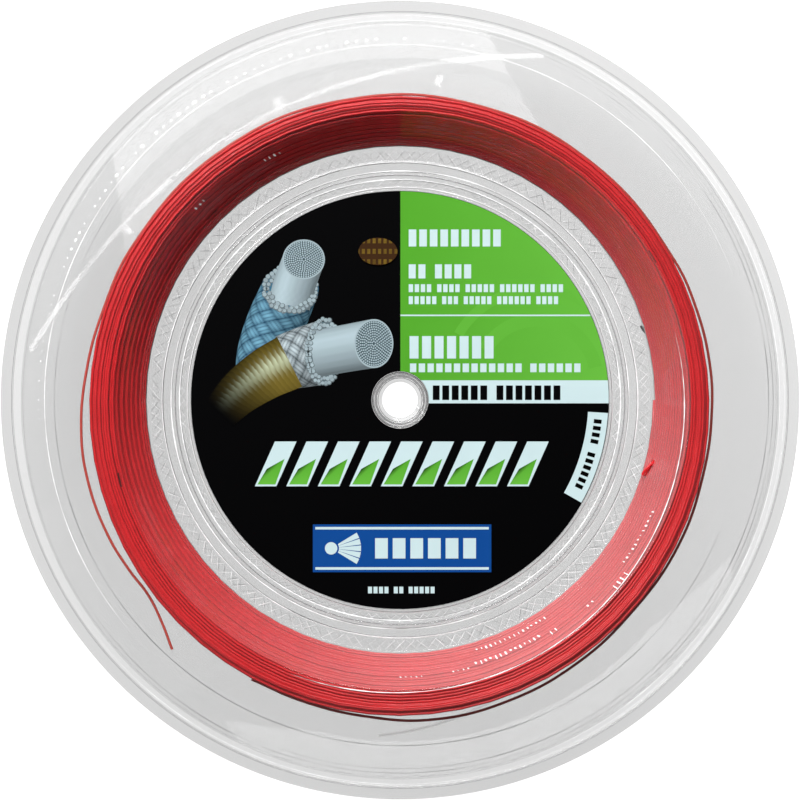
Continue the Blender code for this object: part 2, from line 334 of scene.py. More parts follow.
def fast_mesh(name, vertices, quads, material):
    """A smooth quad mesh from arrays."""
    mesh = bpy.data.meshes.new(name)
    mesh.vertices.add(len(vertices))
    mesh.vertices.foreach_set("co", np.asarray(vertices, dtype=np.float32).ravel())
    mesh.loops.add(quads.size)
    mesh.loops.foreach_set("vertex_index", quads.astype(np.int32).ravel())
    mesh.polygons.add(len(quads))
    mesh.polygons.foreach_set("loop_start", np.arange(0, quads.size, 4, dtype=np.int32))
    mesh.update(calc_edges=True)
    mesh.validate()
    mesh.materials.append(material)
    mesh.shade_smooth()
    return linked(name, mesh)


def turned_grid(section, columns):
    """The angles of a section turned round the axis, and the radius and height of each of its points."""
    ring = np.array([tuple(point) for point in section])
    angles = np.arange(columns) * math.tau / columns
    return angles, np.repeat(ring[:, :1], columns, axis=1), np.repeat(ring[:, 1:], columns, axis=1)


def turned_mesh(name, angles, radius, height, material):
    vertices = np.stack([radius * np.cos(angles), radius * np.sin(angles), height], axis=-1).reshape(-1, 3)
    return fast_mesh(name, vertices, grid_faces(*radius.shape), material)


def flat_ring(inner, outer, low, high, inset):
    """The section of a flat ring whose edges are eased."""
    below = [(inner + inset, low), (outer - inset, low), (outer, low + inset)]
    above = [(outer, high - inset), (outer - inset, high), (inner + inset, high)]
    return below + above + [(inner, high - inset), (inner, low + inset)]


def filleted(corners, segments=4):
    """Points along an outline of (radius, height, fillet radius) corners, with each corner rounded."""
    points = []
    for i, (x, y, fillet) in enumerate(corners):
        here = Vector((x, y))
        if fillet == 0 or i in (0, len(corners) - 1):
            points.append(here)
            continue
        to_last = (Vector(corners[i - 1][:2]) - here).normalized()
        to_next = (Vector(corners[i + 1][:2]) - here).normalized()
        half = to_last.angle(to_next) / 2
        reach = fillet / math.tan(half)
        middle = here + (to_last + to_next).normalized() * (fillet / math.sin(half))
        first = here + to_last * reach - middle
        last = here + to_next * reach - middle
        for step in range(segments + 1):
            share = step / segments
            arm = first.lerp(last, share)
            points.append(middle + arm.normalized() * fillet)
    return points


# ---- shells


def shell_section():
    """The outer face of a shell, bore to lip, with the soft folds of a formed sheet."""
    plateau = WEB_FACE + PLATEAU_RISE
    lip_inner = FLANGE_RADIUS - LIP_WIDTH
    return filleted(
        [
            (COLLAR_RADIUS, WEB_FACE, 0),
            (COLLAR_RADIUS + 0.3 * MM, WEB_FACE, 0.2 * MM),
            (PLATEAU_INNER_RADIUS, plateau, 0.3 * MM),
            (PLATEAU_OUTER_RADIUS, plateau, 0.3 * MM),
            (PLATEAU_OUTER_RADIUS + PLATEAU_RISE, WEB_FACE, 0.25 * MM),
            (BEAD_RADIUS - BEAD_HALF_WIDTH, WEB_FACE, 0.15 * MM),
            (BEAD_RADIUS, WEB_FACE + BEAD_RISE, 0.35 * MM),
            (BEAD_RADIUS + BEAD_HALF_WIDTH, WEB_FACE, 0.15 * MM),
            (WEB_FOLD_RADIUS, WEB_FACE + WEB_FOLD_RISE, 0.4 * MM),
            (WEB_FOLD_RADIUS + WEB_FOLD_WIDTH, WEB_FACE, 0.2 * MM),
            (DRUM_FOOT_RADIUS, WEB_FACE, 0.35 * MM),
            (DRUM_TOP_RADIUS - 0.2 * MM, FLANGE_FACE - 0.35 * MM, 0.6 * MM),
            (DRUM_TOP_RADIUS + 2.0 * MM, FLANGE_FACE, 1.0 * MM),
            (FLANGE_FOLD_RADIUS, FLANGE_FACE, 4.0 * MM),
            (lip_inner - LIP_STEP, MIDDLE - LIP_STEP, 0.3 * MM),
            (lip_inner, MIDDLE, 0.3 * MM),
            (FLANGE_RADIUS, MIDDLE, 0),
        ]
    )


# Radii, then heights, along the shells' outer face.
FACE = np.array([tuple(point) for point in shell_section()]).T


def face_height(radius):
    """The shell's face at a radius."""
    return float(np.interp(radius, *FACE))


def offset_section(section, thickness):
    """The same outline, moved inwards by the sheet's thickness."""
    moved = []
    for i, point in enumerate(section):
        before = section[max(i - 1, 0)]
        after = section[min(i + 1, len(section) - 1)]
        run = (after - before).normalized()
        moved.append(point + Vector((run.y, -run.x)) * thickness)
    return moved


def formed_shell(name, node, material, side, columns):
    """One shell as a closed sheet, with the slight waviness of a thin formed flange."""
    outer = shell_section()
    angles, radius, height = turned_grid(outer + offset_section(outer, SHEET)[::-1], columns)

    sway_start, sway_depth = 78 * MM, 0.22 * MM
    rim = np.clip((radius - sway_start) / (FLANGE_RADIUS - sway_start), 0, 1) ** 2
    sway = np.sin(3 * angles + 0.7) * 0.35 + np.sin(5 * angles + 2.1) * 0.2 + np.sin(11 * angles) * 0.05
    height = height - rim * (sway + 0.6) * sway_depth
    crease_width, crease_depth = 0.35 * MM, 0.06 * MM
    crease = np.exp(-(((radius - (BEAD_RADIUS - BEAD_HALF_WIDTH)) / crease_width) ** 2))
    crinkle = np.sin(143 * angles + 2 * np.sin(17 * angles)) + np.sin(211 * angles + np.sin(9 * angles))
    height = height + crease * crinkle * crease_depth

    ob = turned_mesh(name, angles, radius, height, material)
    cut_slit(ob)
    place_on_side(ob, side, [node])


def drum_frame():
    """Where the string's slit sits on the drum's wall: +X along the slit, +Z off the wall to the axis."""
    along_wall = Vector((DRUM_TOP_RADIUS - DRUM_FOOT_RADIUS, 0, FLANGE_FACE - WEB_FACE)).normalized()
    outwards = Vector((-along_wall.z, 0, along_wall.x))
    slit_run = Vector((0, -1, 0)) * math.cos(SLIT_SLOPE) - along_wall * math.sin(SLIT_SLOPE)
    share = (SLIT_HEIGHT - WEB_FACE) / (FLANGE_FACE - WEB_FACE)
    radius = DRUM_FOOT_RADIUS + share * (DRUM_TOP_RADIUS - DRUM_FOOT_RADIUS)
    placed = Matrix((slit_run, outwards.cross(slit_run), outwards)).transposed().to_4x4()
    placed.translation = Vector((radius, 0, SLIT_HEIGHT))
    return Matrix.Rotation(SLIT_ANGLE, 4, "Z") @ placed


def cut_slit(shell):
    """Cuts the slot with round ends through the drum's wall."""
    straight = (SLIT_LENGTH - SLIT_WIDTH) / 2
    end_points = 8
    outline = []
    for end in (1, -1):
        for i in range(end_points + 1):
            turn = math.pi * (i / end_points - end / 2)
            x, y = SLIT_WIDTH / 2 * math.cos(turn), SLIT_WIDTH / 2 * math.sin(turn)
            outline.append((end * straight + x, y))
    count = len(outline)
    reach = 2 * MM
    vertices = [(x, y, level) for level in (-reach, reach) for x, y in outline]
    faces = [(i, (i + 1) % count, (i + 1) % count + count, i + count) for i in range(count)]
    faces += [tuple(reversed(range(count))), tuple(range(count, 2 * count))]
    cutter = mesh_object("slit_cutter", vertices, faces, shell.data.materials[0], smooth=False)
    cutter.matrix_world = drum_frame()
    cut = shell.modifiers.new("slit", "BOOLEAN")
    cut.operation = "DIFFERENCE"
    cut.object = cutter
    bpy.context.view_layer.update()
    evaluated = shell.evaluated_get(bpy.context.evaluated_depsgraph_get())
    mesh = bpy.data.meshes.new_from_object(evaluated)
    shell.modifiers.clear()
    mesh.set_sharp_from_angle(angle=math.radians(35))
    shell.data = mesh
    bpy.data.objects.remove(cutter)


def fine_divider(material):
    """The flat divider with eased edges."""
    section = flat_ring(BORE_RADIUS, DIVIDER_RADIUS, MIDDLE - SHEET / 2, MIDDLE + SHEET / 2, 0.12 * MM)
    ob = turned_mesh("clear_divider", *turned_grid(section, 360), material)
    place_on_reel(ob, ["divider_disc"])


# Of each white ring ridge: radius and half width in millimetres, first and last degrees, and drift outwards.
# The full rings are partly whitened creases and partly painted highlight lines along the folds; the part
# arcs, round the flange's outer rings and along the drum's top fold, are painted highlights.
CREASES_AND_HIGHLIGHT_ARCS = (
    (4.75, 0.04, 0, 360, 0), (5.45, 0.05, 0, 360, 0), (6.15, 0.04, 0, 360, 0), (51.35, 0.08, 0, 360, 0),
    (53.2, 0.14, 0, 360, 0), (55.25, 0.13, 0, 360, 0), (57.4, 0.11, 0, 360, 0), (84.7, 0.09, 20, 225, 0),
    (90.4, 0.07, -70, 120, 0), (91.5, 0.06, -150, 160, 0), (70.2, 0.11, -112, 14, -2.6),
)  # fmt: skip
# Of each row of painted highlight dashes on the drum's wall, where the wall catches the lamps: first and last
# degrees, inner and outer radius in millimetres.
WALL_HIGHLIGHT_DASHES = (
    (-36, -23, 65.9, 66.5), (-41, -37, 67.5, 68.8), (-47.6, -46.4, 66.4, 67.3), (-57, -55.5, 66.0, 66.9),
    (-74, -59, 65.3, 66.2), (-73, -56, 62.6, 63.3), (-79, -75, 66.1, 66.5), (-90, -85, 66.2, 66.5),
    (134.5, 137.5, 66.6, 67.4), (116, 119.5, 65.6, 66.4),
)  # fmt: skip


def weld_ridges_and_glints(name, material, side):
    """Crossed ridges of both weld bands, each a thin bar, with the white crease rings, the painted highlight
    arcs along the folds and the painted highlight dashes on the drum's wall.
    """
    rng = np.random.default_rng(7 if side > 0 else 8)
    vertices, faces = [], []
    cells, dash_spacing = 150, 1.1
    for inner, outer in WELD_BANDS:
        for cell in range(cells):
            for lean in (1, -1):
                start = math.tau * (cell + rng.uniform(-0.15, 0.15)) / cells
                sweep = lean * math.tau / cells * rng.uniform(0.7, 1.15)
                add_bar(vertices, faces, inner, outer, start, sweep, rng.uniform(0.03, 0.09) * MM, rng)
    for radius, half, first, last, drift in CREASES_AND_HIGHLIGHT_ARCS:
        span = (math.radians(first), math.radians(last))
        add_ring_ridge(vertices, faces, radius * MM, half * MM, *span, drift * MM, rng)
    for first, last, inner, outer in WALL_HIGHLIGHT_DASHES:
        for degrees in np.arange(first, last, dash_spacing):
            reach = rng.uniform(0.4, 1.0) * (outer - inner)
            start = math.radians(degrees + rng.uniform(-0.1, 0.1))
            bar = (inner * MM, (inner + reach) * MM, start, math.radians(0.15), rng.uniform(0.1, 0.3) * MM)
            add_bar(vertices, faces, *bar, rng)
    ob = mesh_object(name, vertices, faces, material, smooth=False)
    place_on_side(ob, side)


def add_ridge_faces(faces, first, steps, stations):
    """Joins stations of left foot, crest and right foot, in a closed ring if stations equal steps."""
    for i in range(steps):
        a, b = first + 3 * i, first + 3 * ((i + 1) % stations)
        faces += [(a, a + 1, b + 1, b), (a + 1, a + 2, b + 2, b + 1), (a + 2, a, b, b + 2)]
    if stations > steps:
        last = first + 3 * steps
        faces += [(first, first + 2, first + 1), (last, last + 1, last + 2)]


def add_ring_ridge(vertices, faces, radius, half, start, end, drift, rng):
    """A low ring ridge whose width comes and goes, pointed at both ends if it is only an arc."""
    first = len(vertices)
    steps = max(int((end - start) * 58), 8)
    spans = 60
    knots = rng.uniform(0.35, 1.3, spans + 1)
    knots[-1] = knots[0]
    whole = math.isclose(end - start, math.tau)
    stations = steps if whole else steps + 1
    for i in range(stations):
        share = i / steps
        turn = start + (end - start) * share
        width = half * float(np.interp(share * spans, np.arange(spans + 1), knots))
        if not whole:
            width *= min(min(share, 1 - share) * 12 + 0.02, 1)
        for shift, lift in ((-width, -SINK), (0.0, 0.3 * width), (width, -SINK)):
            reach = radius + drift * share + shift
            level = face_height(reach) if radius > COLLAR_RADIUS else SHEET / 2
            vertices.append(Vector((reach * math.cos(turn), reach * math.sin(turn), level + lift)))
    add_ridge_faces(faces, first, steps, stations)


def fold_highlight_dots(name, material, side):
    """The row of small white domes along part of the flange's fold: the fold's ripples, drawn as painted
    highlights that are largest where they face the key light.
    """
    rng = np.random.default_rng(21)
    count, middle, fade = 234, math.radians(124), 0.5
    rows, columns = 4, 12
    half_long, half_wide, rise = 0.7 * MM, 0.5 * MM, 0.15 * MM
    radius = FLANGE_FOLD_RADIUS + 0.5 * MM
    vertices, faces = [], []
    for dot in range(count):
        turn = math.tau * (dot + rng.uniform(-0.08, 0.08)) / count
        # How squarely this part of the fold faces the key light; the painted highlight dots grow with it and
        # are left out below fade.
        highlight_share = math.cos(turn - middle)
        if highlight_share < fade:
            continue
        size = rng.uniform(0.2, 0.9) * highlight_share**2
        out = Vector((math.cos(turn), math.sin(turn), 0))
        along = Vector((-out.y, out.x, 0))
        centre = out * radius + Vector((0, 0, face_height(radius) - SINK))
        first = len(vertices)
        for row in range(rows):
            share = 1 - row / rows
            lift = rise * size * (1 - share**2)
            for column in range(columns):
                bend = math.tau * column / columns
                arm = along * (half_long * size * share * math.cos(bend))
                arm += out * (half_wide * size * share * math.sin(bend))
                vertices.append(centre + arm + Vector((0, 0, lift)))
        vertices.append(centre + Vector((0, 0, rise * size)))
        crown, last = len(vertices) - 1, first + (rows - 1) * columns
        faces += [tuple(first + corner[::-1]) for corner in grid_faces(rows, columns)[: (rows - 1) * columns]]
        faces += [(last + (c + 1) % columns, last + c, crown) for c in range(columns)]
        faces.append(tuple(first + c for c in range(columns)))
    ob = mesh_object(name, vertices, faces, material)
    ob.data.set_sharp_from_angle(angle=math.radians(60))
    place_on_side(ob, side)


def add_bar(vertices, faces, inner, outer, start, sweep, half, rng):
    """A low ridge from the inner to the outer radius, on the shell's face."""
    steps = 4
    first = len(vertices)
    for i in range(steps + 1):
        share = i / steps
        radius = inner + (outer - inner) * share
        turn = start + sweep * share + rng.uniform(-1, 1) * 0.04 * MM / radius
        point = Vector((radius * math.cos(turn), radius * math.sin(turn), face_height(radius)))
        across = Vector((-math.sin(turn), math.cos(turn), 0))
        width = half * (0.5 + 0.5 * math.sin(math.pi * min(max(share, 0.12), 0.88)))
        for shift, lift in ((width, -SINK), (0.0, 0.06 * MM), (-width, -SINK)):
            vertices.append(point + across * shift + Vector((0, 0, lift)))
    add_ridge_faces(faces, first, steps, steps + 1)


# ---- wound strings


def wall_height(radius, diameter):
    """How high a string of this diameter may sit at a radius before it touches the drum or the flange."""
    slope = (FLANGE_FACE - WEB_FACE) / (DRUM_TOP_RADIUS - DRUM_FOOT_RADIUS)
    face = WEB_FACE + (radius - DRUM_FOOT_RADIUS) * slope
    wall = (SHEET + diameter / 2 + CLEARANCE) * math.hypot(1, slope)
    return np.minimum(face - wall, FLANGE_FACE - SHEET - diameter / 2 - CLEARANCE)


def roof_height(radius, diameter, edge):
    """The wound face: it follows the drum, climbs slowly to the flange and rolls over at its outer edge."""
    shoulder = edge - 1.7 * MM
    climb = 0.35 * np.maximum(shoulder - radius, 0)
    roll = (np.maximum(radius - shoulder, 0) / MM) ** 2 * 0.9 * MM
    flat = FLANGE_FACE - SHEET - diameter / 2 - 3 * CLEARANCE
    return np.minimum(wall_height(radius, diameter), flat - climb - roll)


def wound_turns(diameter, length, pitch, edge):
    """Radius and height at the start of each turn, wound layer on layer until the length is used up."""
    floor = SHEET / 2 + diameter / 2 + CLEARANCE
    stops = []
    used = 0.0
    radius = DRUM_FOOT_RADIUS + 0.7 * MM
    upwards = True
    while used < length and radius < edge:
        roof = float(roof_height(radius, diameter, edge))
        if roof < floor:
            radius += 0.05 * MM
            continue
        turns = max(1, int((roof - floor) / pitch))
        heights = np.linspace(floor, roof, turns + 1) if turns > 1 else np.array([roof])  # one layer
        for height in heights if upwards else heights[::-1]:
            stops.append((radius, height))
            used += math.tau * radius
            if used >= length:
                break
        upwards = not upwards
        slack = min(max((radius - 64 * MM) / (5 * MM), 0), 1)  # from tight inner to slack outer layers
        radius += diameter * (0.72 + 0.2 * slack)
    return np.array(stops)


def smooth_noise(turn, spacing, rng):
    """Random values, one each spacing turns, joined by smooth curves."""
    knots = rng.normal(0, 1, int(turn[-1] / spacing) + 3)
    place = turn / spacing
    below = place.astype(int)
    share = place - below
    share = share * share * (3 - 2 * share)
    return knots[below] * (1 - share) + knots[below + 1] * share


def wound_string(name, node, material, diameter, length, side, seed, lean, pitch):
    """The wound string as one long tube, whose outer layers lean towards the reel's lower side."""
    sides, per_turn = 6, 64
    rng = np.random.default_rng(seed)
    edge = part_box(node)[1][0]
    stops = wound_turns(diameter, length, diameter * pitch, edge)
    turns = len(stops) - 1
    samples = turns * per_turn + 1
    turn = np.arange(samples) / per_turn
    radius = np.interp(turn, np.arange(turns + 1), stops[:, 0])
    height = np.interp(turn, np.arange(turns + 1), stops[:, 1])

    wander, sag = 0.24 * MM, 0.13 * MM  # of the loose turns on the wound face
    loose = np.clip((radius - 66 * MM) / (5 * MM), 0, 1)
    below_roof = roof_height(radius, diameter, edge) - height
    exposed = np.clip(1 - below_roof / (2.5 * diameter), 0, 1) ** 0.5
    radius = radius + smooth_noise(turn, 0.3, rng) * (0.02 + 0.03 * loose) * MM
    radius = radius + smooth_noise(turn, 0.6, rng) * exposed * loose * wander
    radius = np.minimum(radius, edge - 0.2 * MM - diameter / 2)
    height = height - np.abs(smooth_noise(turn, 0.5, rng)) * exposed * loose * sag
    roof = roof_height(radius, diameter, edge)
    lean_side = math.radians(98)  # clockwise from +X
    outermost = np.clip((radius - 62 * MM) / (11.5 * MM), 0, 1)
    radius = radius + lean * outermost * np.cos(turn * math.tau - lean_side)
    floor = SHEET / 2 + diameter / 2 + 0.02 * MM
    height = np.clip(height, floor, np.minimum(roof, wall_height(radius, diameter)))

    angle = side * turn * -math.tau
    out = np.stack([np.cos(angle), np.sin(angle), np.zeros(samples)], axis=-1)
    centre = out * radius[:, None]
    centre[:, 2] = height
    around = np.arange(sides) / sides
    sideways = (np.cos(around * math.tau) * diameter / 2)[None, :, None] * out[:, None, :]
    upright = (np.sin(around * math.tau) * diameter / 2)[None, :, None] * np.array([0, 0, 1.0])
    vertices = (centre[:, None, :] + sideways + upright).reshape(-1, 3)
    end = (samples - 1) * sides
    caps = [(3, 2, 1, 0), (5, 4, 3, 0), (end, end + 1, end + 2, end + 3), (end, end + 3, end + 4, end + 5)]
    quads = np.concatenate([grid_faces(samples, sides)[:end], caps])
    if side < 0:
        quads = quads[:, ::-1]
    ob = fast_mesh(name, vertices, quads, material)
    steps = np.linalg.norm(np.diff(centre, axis=0), axis=1)
    along = np.concatenate([[0], np.cumsum(steps)])
    add_values(ob, "along", np.repeat(along, sides))
    add_values(ob, "around", np.tile(around, samples))
    place_on_side(ob, side, [node])


def add_values(ob, name, values):
    attribute = ob.data.attributes.new(name, "FLOAT", "POINT")
    attribute.data.foreach_set("value", np.asarray(values, dtype=np.float32))


def free_string(name, node, material, route, diameter):
    stops = []
    for degrees, radius, height in route:
        turn = math.radians(degrees)
        stops.append(Vector((radius * MM * math.cos(turn), radius * MM * math.sin(turn), height * MM)))
    curve = bpy.data.curves.new(name, "CURVE")
    curve.dimensions = "3D"
    curve.resolution_u = 12
    curve.bevel_depth = diameter / 2
    curve.bevel_resolution = 3
    curve.use_fill_caps = True
    spline = curve.splines.new("BEZIER")
    spline.bezier_points.add(len(stops) - 1)
    for knot, stop in zip(spline.bezier_points, stops):
        knot.co = stop
        knot.handle_left_type = knot.handle_right_type = "AUTO"
    curve.materials.append(material)
    ob = linked(name, curve)
    place_on_reel(ob, [node])
    tuple(stops[0])


# ---- printed labels


def ink(red, green, blue):
    """A printed colour, from display values of 0 to 255."""
    shares = (red / 255, green / 255, blue / 255)
    return tuple(v / 12.92 if v < 0.039 else ((v + 0.055) / 1.055) ** 2.4 for v in shares)


BLACK, GREEN, PALE = ink(3, 3, 4), ink(92, 180, 50), ink(222, 247, 250)
LIGHT_GREEN, DARK_GREEN = ink(112, 200, 70), ink(6, 26, 10)
BLUE, CORE, GOLD, PALE_GOLD = ink(20, 80, 160), ink(200, 222, 230), ink(120, 104, 42), ink(214, 226, 190)
LAYER = 0.012 * MM


class Print:
    """Thin solid patches of ink, built up in layers on a label's face. Points are in millimetres."""

    def __init__(self):
        self.vertices, self.faces, self.colours = [], [], []

    def height(self, layer):
        return LABEL_FACE + LAYER * layer

    def patch(self, points, colour, layer):
        """A flat outline, anticlockwise. colour is one colour, or one for each point."""
        first, count = len(self.vertices), len(points)
        colours = colour if isinstance(colour, list) else [colour] * count
        for level in (self.height(layer), LABEL_FACE - 2 * LAYER):
            self.vertices += [(x * MM, y * MM, level) for x, y in points]
            self.colours += colours
        top = range(first, first + count)
        self.faces.append(tuple(top))
        self.faces.append(tuple(i + count for i in reversed(top)))
        for i in range(count):
            a, b = first + i, first + (i + 1) % count
            self.faces.append((a, a + count, b + count, b))

    def box(self, left, right, bottom, top, colour, layer, lean=0.0):
        shift = lean * (top - bottom)
        corners = [(left, bottom), (right, bottom), (right + shift, top), (left + shift, top)]
        self.patch(corners, colour, layer)

    def oval(self, x, y, across, up, colour, layer, points=24):
        corners = [math.tau * i / points for i in range(points)]
        self.patch([(x + across * math.cos(t), y + up * math.sin(t)) for t in corners], colour, layer)

    def sheet(self, rows, colours, layer):
        """A grid of points with a colour at each, closed below and round its edge."""
        first, high, wide = len(self.vertices), len(rows), len(rows[0])
        for level in (self.height(layer), LABEL_FACE - 2 * LAYER):
            for row, tones in zip(rows, colours):
                self.vertices += [(x * MM, y * MM, level) for x, y in row]
                self.colours += tones
        under = high * wide
        for i in range(high - 1):
            for j in range(wide - 1):
                a = first + i * wide + j
                quad = (a, a + 1, a + wide + 1, a + wide)
                self.faces.append(quad)
                self.faces.append(tuple(v + under for v in reversed(quad)))
        rim = [first + j for j in range(wide)]
        rim += [first + i * wide + wide - 1 for i in range(1, high)]
        rim += [first + (high - 1) * wide + j for j in range(wide - 2, -1, -1)]
        rim += [first + i * wide for i in range(high - 2, 0, -1)]
        for a, b in zip(rim, rim[1:] + rim[:1]):
            self.faces.append((a, a + under, b + under, b))

    def words(self, left, right, bottom, top, lengths, colour, layer):
        """Plain blocks in groups, where the real label has a line of words."""
        block, space = 0.72, 0.7  # shares of a cell
        cell = (right - left) / (sum(lengths) + space * (len(lengths) - 1))
        x = left
        for length in lengths:
            for _ in range(length):
                self.box(x, x + cell * block, bottom, top, colour, layer)
                x += cell
            x += space * cell

    def build(self, name, material, side, replaces=()):
        ob = mesh_object(name, self.vertices, self.faces, material, smooth=False)
        add_colours(ob, self.colours)
        place_on_side(ob, side, replaces)


def add_colours(ob, colours):
    attribute = ob.data.color_attributes.new("ink", "FLOAT_COLOR", "POINT")
    attribute.data.foreach_set("color", np.array([(*c, 1.0) for c in colours], dtype=np.float32).ravel())


def arc(radius, first, last, points=24):
    turns = [first + (last - first) * i / (points - 1) for i in range(points)]
    return [(radius * math.cos(t), radius * math.sin(t)) for t in turns]


def shade(colour, level):
    return tuple(min(max(c * level, 0.0), 1.0) for c in colour)


def blend(a, b, share):
    return tuple(x + (y - x) * share for x, y in zip(a, b))


# Of each line of words: left, right, bottom and top in millimetres, the words' lengths and the ink.
WORD_LINES = (
    (2.1, 25.0, 37.0, 41.1, [9], PALE), (2.1, 17.8, 29.3, 32.7, [2, 4], PALE),
    (2.1, 39.7, 26.0, 27.9, [4, 4, 5, 6, 4], PALE), (2.1, 38.5, 23.1, 25.0, [5, 3, 5, 6, 4], PALE),
    (2.3, 23.4, 10.0, 15.4, [7], PALE), (2.4, 44.1, 6.7, 8.8, [13, 6], PALE),
    (7.9, 39.3, 0.0, 3.5, [6, 7], BLACK), (-7.7, 8.7, -46.6, -45.0, [4, 2, 5], PALE),
)  # fmt: skip


def print_panels(art):
    """The green quarter with its rule, the pale strip, and blocks where the words are."""
    edge, hole = LABEL_RADIUS / MM - 0.1, LABEL_HOLE / MM + 0.05
    left, foot, strip_foot = 0.1, 4.75, -0.8
    quarter = arc(edge, math.asin(foot / edge), math.acos(left / edge), 60)
    quarter += arc(hole, math.acos(left / hole), math.asin(foot / hole), 10)
    glow = [blend(GREEN, LIGHT_GREEN, min(max(x / 50, 0), 1)) for x, _ in quarter]
    art.patch(quarter, glow, 1)
    bow_x, bow_y, first, last = 33, 4.9, math.radians(12), math.radians(150)
    for radius, width in ((16, 3.2), (23, 2.4)):
        bow = arc(radius, first, last, 40) + arc(radius - width, last, first, 40)
        ring = [(bow_x + x, bow_y + y) for x, y in bow]
        inside = [(x, y) for x, y in ring if math.hypot(x, y) < edge - 0.5 and y > foot]
        art.patch(inside, blend(GREEN, LIGHT_GREEN, 0.75), 2)
    rule, half_rule = 20.4, 0.18
    art.box(left, math.sqrt(edge**2 - (rule + 0.2) ** 2), rule - half_rule, rule + half_rule, PALE, 3)
    strip = arc(edge, math.asin(strip_foot / edge), math.asin(foot / edge), 12)
    strip += arc(hole, math.asin(foot / hole), math.asin(strip_foot / hole), 10)
    art.patch(strip, PALE, 2)
    for line in WORD_LINES:
        art.words(*line, 3)


def print_ornament(art):
    """A band of slanted bars and a panel with a plain shuttlecock, where the real label has its marks."""
    bars, first, pitch, width = 9, -35.0, 7.6, 5.2
    foot, top, lean, border, slant = -20.8, -10.0, 0.45, 0.45, 1.2
    middle = (foot + top) / 2
    for i in range(bars):
        left = first + pitch * i
        art.box(left, left + width, foot, top, PALE, 2, lean)
        sides = (left + border, left + width - border)
        low, knee = lean * border, lean * (middle - foot)
        fill = [(sides[0] + low, foot + border), (sides[1] + low, foot + border)]
        fill += [(sides[1] + knee, middle + slant), (sides[0] + knee, middle - slant)]
        art.patch(fill, [LIGHT_GREEN, LIGHT_GREEN, GREEN, DARK_GREEN], 3)

    left, right, foot, top, margin = -21.0, 22.0, -41.5, -30.0, 0.6
    art.box(left, right, foot, top, BLUE, 2)
    for bottom in (foot + margin, top - 2 * margin):
        art.box(left + margin, right - margin, bottom, bottom + margin, PALE, 3)
    cork, cork_radius, feather_root, feather_tip = Vector((-16.6, -35.75)), 1.5, 1.9, 7.2
    art.oval(cork.x, cork.y, cork_radius, cork_radius, PALE, 3)
    for degrees in range(-26, 27, 13):
        turn = math.radians(degrees)
        ahead = Vector((math.cos(turn), math.sin(turn)))
        across = Vector((-ahead.y, ahead.x))
        root, tip = cork + ahead * feather_root, cork + ahead * feather_tip
        feather = [root - across * 0.2, tip - across * 0.7, tip + across * 0.7, root + across * 0.2]
        art.patch([tuple(point) for point in feather], PALE, 3)
    art.words(-6.0, 19.5, -38.2, -33.3, [6], PALE, 3)


def string_path(stops, steps):
    """Points and half widths along a smooth line through (x, y, half width) stops."""
    values = np.array(stops, dtype=float)
    slopes = np.gradient(values, axis=0)
    where = np.linspace(0, len(stops) - 1, steps)
    below = np.minimum(where.astype(int), len(stops) - 2)
    t = (where - below)[:, None]
    return (
        (2 * t**3 - 3 * t**2 + 1) * values[below]
        + (t**3 - 2 * t**2 + t) * slopes[below]
        + (-2 * t**3 + 3 * t**2) * values[below + 1]
        + (t**3 - t**2) * slopes[below + 1]
    )


def draw_round(art, stops, tone, layer, steps, across=30):
    """A round string seen from its side, coloured by tone(distance along, angle across)."""
    path = string_path(stops, steps)
    heading = np.gradient(path[:, :2], axis=0)
    heading /= np.linalg.norm(heading, axis=1)[:, None]
    along = np.concatenate([[0], np.cumsum(np.linalg.norm(np.diff(path[:, :2], axis=0), axis=1))])
    rows, colours = [], []
    for (x, y, half), (hx, hy), distance in zip(path, heading, along):
        row, tones = [], []
        for j in range(across + 1):
            turn = math.pi * (j / across - 0.5)
            offset = -half * math.sin(turn)
            row.append((x - hy * offset, y + hx * offset))
            tones.append(tone(distance, turn))
        rows.append(row)
        colours.append(tones)
    art.sheet(rows, colours, layer)


def lit(turn):
    """Light across a round string, with a soft bright streak on one side."""
    light = -0.5
    facing = max(math.cos(turn - light), 0.0)
    return 0.3 + 0.6 * facing + 0.2 * facing**12


def core_tone(distance, turn):
    grain = 0.03 * math.sin(distance * 16) * math.sin(turn * 40)
    return shade(CORE, lit(turn) * 0.88 + grain)


def braid_tone(bright, dark, pitch, wrap):
    """Two sets of flat plaits of three strands each, which pass over and under each other."""

    def tone(distance, turn):
        u = distance / pitch + turn / wrap
        v = distance / pitch - turn / wrap
        over = (math.floor(u) + math.floor(v)) % 2 == 0
        across, along = (u % 1.0, v % 1.0) if over else (v % 1.0, u % 1.0)
        rib = abs(math.sin(3 * math.pi * across)) ** 0.7
        swell = math.sin(math.pi * across) ** 0.4 * (0.35 + 0.65 * math.sin(math.pi * along) ** 0.7)
        return shade(blend(dark, bright, swell * (0.3 + 0.7 * rib)), lit(turn) * 1.05)

    return tone


def sheath_tone(length):
    """A gold coating over the braid, with a jagged streak, which fades into black at its far end."""

    def tone(distance, turn):
        step = (distance / 1.25 - turn * 0.9) % 1.0
        streak = max(math.cos(turn - 0.3 + 0.3 * step), 0) ** 22
        level = 0.45 + 0.6 * math.cos(turn + 0.3) + 0.25 * (step - 0.5)
        body = blend(shade(GOLD, level), PALE_GOLD, streak * (1 - 0.5 * step))
        fade = min(max((length - distance) / (length * 0.75), 0), 1) ** 1.5
        return blend(BLACK, body, fade)

    return tone


